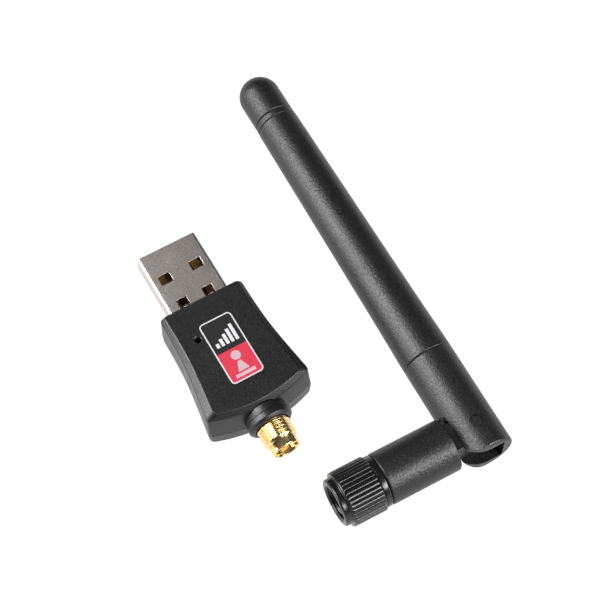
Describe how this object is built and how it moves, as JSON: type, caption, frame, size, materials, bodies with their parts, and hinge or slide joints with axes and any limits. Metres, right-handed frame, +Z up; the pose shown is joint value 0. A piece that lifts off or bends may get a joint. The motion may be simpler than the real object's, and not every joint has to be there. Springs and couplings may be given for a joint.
{
  "type": "usb wifi adapter",
  "caption": "Plug-in USB wireless network adapter with a tapered case, a threaded gold antenna jack and a detached whip antenna that swivels and folds at its elbow.",
  "frame": {"origin": "centre of the underside of the dongle's case, on the surface that it lies on", "axes": "+Y towards the tip of the USB plug, -Y out of the antenna jack, +X towards the loose antenna, +Z up"},
  "size_m": [0.0468, 0.0902, 0.0103],
  "materials": {
    "case_plastic": "fine spark-eroded satin",
    "label_print": "printed satin film",
    "plug_steel": "nickel plated",
    "plug_plastic": "moulded",
    "gold_plate": "polished gold plate",
    "board_mask": "solder mask on glass fibre",
    "chip_epoxy": "moulded epoxy",
    "can_metal": "nickel can",
    "ceramic": "fired ceramic",
    "led_lens": "clear resin",
    "white_insulator": "turned fluoropolymer",
    "nut_black": "polished black",
    "antenna_plastic": "soft satin",
    "pin_black": "black",
    "coax_jacket": "extruded fluoropolymer",
    "radiator_brass": "drawn",
    "steel_ring": "spring steel"
  },
  "bodies": {
    "adapter": {"case_top": "case_plastic", "case_bottom": "case_plastic", "jack_collar": "case_plastic", "label": "label_print", "usb_shell": "plug_steel", "usb_insulator": "plug_plastic", "usb_contacts": "gold_plate", "circuit_board": "board_mask", "network_chip": "chip_epoxy", "crystal": "can_metal", "regulator": "chip_epoxy", "small_parts": "ceramic", "status_led": "led_lens", "jack_body": "gold_plate", "jack_insulator": "white_insulator", "jack_pin": "gold_plate"},
    "antenna_plug": {"plug_core": "gold_plate", "plug_insulator": "white_insulator", "plug_contact": "gold_plate", "retaining_ring": "steel_ring"},
    "nut": {"coupling_nut": "nut_black"},
    "elbow_body": {"elbow": "antenna_plastic", "elbow_coax": "coax_jacket"},
    "arm": {"hinge_barrel": "antenna_plastic", "hinge_pin": "pin_black", "antenna_sleeve": "antenna_plastic", "cap_ring": "antenna_plastic", "end_cap": "antenna_plastic", "arm_coax": "coax_jacket", "dipole_sleeve": "radiator_brass", "radiator_wire": "radiator_brass", "lower_spacer": "white_insulator", "upper_spacer": "white_insulator"}
  },
  "joints": [
    {"name": "antenna_swing", "type": "hinge", "parent": "adapter", "child": "antenna_plug", "pos_m": [0.00658, -0.02597, 0], "axis": [0, 0, 1], "range_deg": [-88.55, 0]},
    {"name": "nut_spin", "type": "hinge", "parent": "antenna_plug", "child": "nut", "pos_m": [0.002, -0.03244, 0.00517], "axis": [-0.9997, 0.0253, 0], "continuous": true},
    {"name": "elbow_swivel", "type": "hinge", "parent": "antenna_plug", "child": "elbow_body", "pos_m": [0.03014, -0.03315, 0.00517], "axis": [-0.9997, 0.0253, 0], "range_deg": [-180, 180]},
    {"name": "arm_fold", "type": "hinge", "parent": "elbow_body", "child": "arm", "pos_m": [0.03014, -0.03315, 0.00517], "axis": [0.0003, 0.0132, 0.9999], "range_deg": [-90, 0]}
  ]
}
